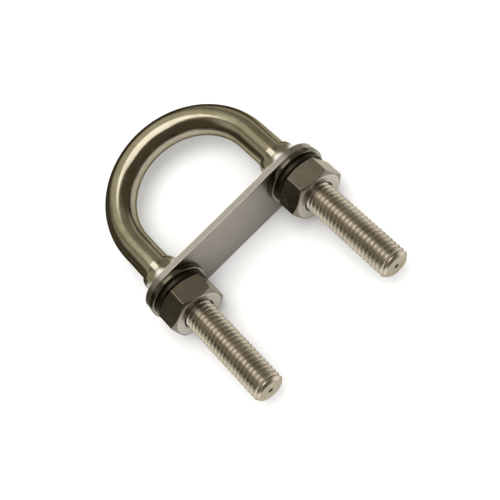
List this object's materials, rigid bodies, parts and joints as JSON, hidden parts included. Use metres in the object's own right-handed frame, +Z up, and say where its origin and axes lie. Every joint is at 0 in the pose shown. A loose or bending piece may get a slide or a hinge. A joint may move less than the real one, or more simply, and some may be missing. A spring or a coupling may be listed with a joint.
{
  "type": "u-bolt",
  "caption": "Round-bar U-bolt with pressed ears, a flat clamp plate with round ends, and a flat washer, spring washer and hex nut on each threaded leg.",
  "frame": {"origin": "midway between the two legs, on the face of the plate that the washers press on", "axes": "+X across the legs from left to right, +Y from the plate to the arch with the legs pointing along -Y, +Z up out of the plane of the U, which lies flat"},
  "size_m": [0.07, 0.0955, 0.02],
  "materials": {
    "rod_steel": "polished stainless bar",
    "plate_steel": "rolled satin stainless strip",
    "washer_steel": "stamped and tumbled stainless",
    "lock_steel": "dark spring steel",
    "nut_steel": "forged stainless with chamfered corners"
  },
  "bodies": {
    "rod": {"u_rod": "rod_steel"},
    "plate": {"plate": "plate_steel"},
    "left_washer": {"left_flat_washer": "washer_steel"},
    "left_lock": {"left_lock_washer": "lock_steel"},
    "left_nut": {"left_nut": "nut_steel"},
    "right_washer": {"right_flat_washer": "washer_steel"},
    "right_lock": {"right_lock_washer": "lock_steel"},
    "right_nut": {"right_nut": "nut_steel"}
  },
  "joints": [
    {"name": "plate_slide", "type": "slide", "parent": "rod", "child": "plate", "axis": [0, -1, 0], "range_m": [0, 0.015]},
    {"name": "left_washer_slide", "type": "slide", "parent": "plate", "child": "left_washer", "axis": [0, -1, 0], "range_m": [0, 0.015]},
    {"name": "left_lock_turn", "type": "hinge", "parent": "left_washer", "child": "left_lock", "pos_m": [-0.025, 0, 0], "axis": [0, -1, 0], "range_deg": [0, 3600]},
    {"name": "left_nut_turn", "type": "hinge", "parent": "left_lock", "child": "left_nut", "pos_m": [-0.025, 0, 0], "axis": [0, -1, 0], "range_deg": [0, 3600]},
    {"name": "right_washer_slide", "type": "slide", "parent": "plate", "child": "right_washer", "axis": [0, -1, 0], "range_m": [0, 0.015]},
    {"name": "right_lock_turn", "type": "hinge", "parent": "right_washer", "child": "right_lock", "pos_m": [0.025, 0, 0], "axis": [0, -1, 0], "range_deg": [0, 3600]},
    {"name": "right_nut_turn", "type": "hinge", "parent": "right_lock", "child": "right_nut", "pos_m": [0.025, 0, 0], "axis": [0, -1, 0], "range_deg": [0, 3600]}
  ],
  "couplings": [
    {"joint": "left_lock_turn", "follows": "plate_slide", "rad_per_m": 4188.8},
    {"joint": "right_lock_turn", "follows": "plate_slide", "rad_per_m": 4188.8},
    {"joint": "left_nut_turn", "follows": "left_washer_slide", "rad_per_m": 4188.8},
    {"joint": "right_nut_turn", "follows": "right_washer_slide", "rad_per_m": 4188.8}
  ]
}
